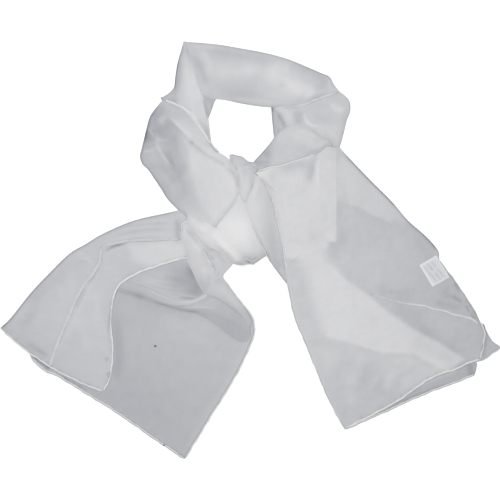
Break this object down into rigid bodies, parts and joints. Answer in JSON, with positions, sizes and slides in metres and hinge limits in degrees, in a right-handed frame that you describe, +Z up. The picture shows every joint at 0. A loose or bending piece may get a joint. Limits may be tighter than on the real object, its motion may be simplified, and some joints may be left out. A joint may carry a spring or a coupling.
{
  "type": "silk scarf",
  "caption": "Sheer white silk scarf lying flat, tied in one loose front knot that leaves a neck loop, with two fanned tails and rolled hems.",
  "frame": {"origin": "middle of the scarf's outline on the surface it lies on", "axes": "+X to the right across the two tails, +Y from the tails towards the neck loop, +Z up off the surface"},
  "size_m": [0.7496, 0.626, 0.0298],
  "materials": {
    "silk": "sheer plain-weave silk, soft sheen",
    "label": "matt woven label, bare"
  },
  "bodies": {
    "root": {"left_tail_ground": "silk", "left_tail_turned": "silk", "left_tail_swag": "silk", "left_tail_strap": "silk", "neck_under_left": "silk", "neck_under_right": "silk", "neck_right": "silk", "neck_back": "silk", "neck_left": "silk", "neck_right_lower": "silk", "knot_core": "silk", "knot_tuck": "silk", "knot_band": "silk", "front_left": "silk", "right_tail_gather": "silk", "right_tail_side": "silk", "right_tail_top": "silk", "right_tail_under": "silk", "right_tail_corner": "silk", "care_label": "label"}
  },
  "joints": []
}
